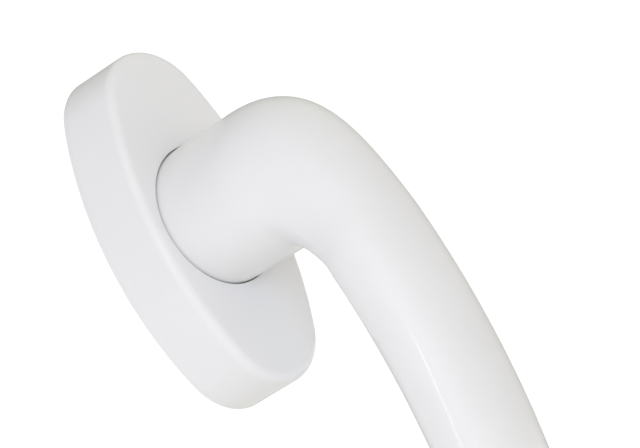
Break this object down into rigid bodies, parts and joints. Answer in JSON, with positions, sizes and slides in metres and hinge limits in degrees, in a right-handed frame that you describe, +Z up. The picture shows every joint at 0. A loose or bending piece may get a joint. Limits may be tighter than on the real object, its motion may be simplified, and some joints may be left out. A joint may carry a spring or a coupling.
{
  "type": "window handle",
  "caption": "White window handle with an oval rosette, a thick round neck and a bent oval lever with a square spindle socket; the cover cap lifts to reach the screws.",
  "frame": {"origin": "on the sash face, where the lever's turning axis crosses it", "axes": "+X to the right as seen from the room, +Y into the sash along the turning axis, +Z up; the lever hangs down, which is window closed"},
  "size_m": [0.0324, 0.051, 0.1503],
  "materials": {
    "white_coat": "satin-gloss white powder coat over cast aluminium",
    "white_plastic": "satin-gloss moulded white plastic",
    "liner_plastic": "natural nylon",
    "bush_plastic": "natural acetal",
    "base_plastic": "dark grey glass-filled nylon",
    "sheet_steel": "bright rolled steel sheet",
    "spring_steel": "dark hardened spring steel",
    "plated_steel": "zinc-plated steel"
  },
  "bodies": {
    "rosette": {"base_plate": "base_plastic", "bearing_bush": "bush_plastic", "closing_plate": "sheet_steel", "closing_plate_rivets": "plated_steel", "cap_clip_upper": "spring_steel", "cap_clip_lower": "spring_steel", "detent_spring_left": "spring_steel", "detent_spring_right": "spring_steel", "screw_seat_upper": "plated_steel", "screw_seat_lower": "plated_steel"},
    "lever": {"lever": "white_coat", "spindle_sleeve": "plated_steel", "spindle_gripper": "spring_steel", "sleeve_pin": "plated_steel", "detent_disc": "sheet_steel", "wave_washer": "spring_steel", "thrust_washer": "sheet_steel", "circlip": "spring_steel"},
    "cap": {"cover_cap": "white_plastic", "cap_guide_ring": "liner_plastic"}
  },
  "joints": [
    {"name": "lever_turn", "type": "hinge", "parent": "rosette", "child": "lever", "pos_m": [0, 0, 0], "axis": [0, 1, 0], "continuous": true, "deforming": ["detent_spring_left", "detent_spring_right"]},
    {"name": "cap_lift", "type": "slide", "parent": "rosette", "child": "cap", "axis": [0, -1, 0], "range_m": [0, 0.012]}
  ]
}
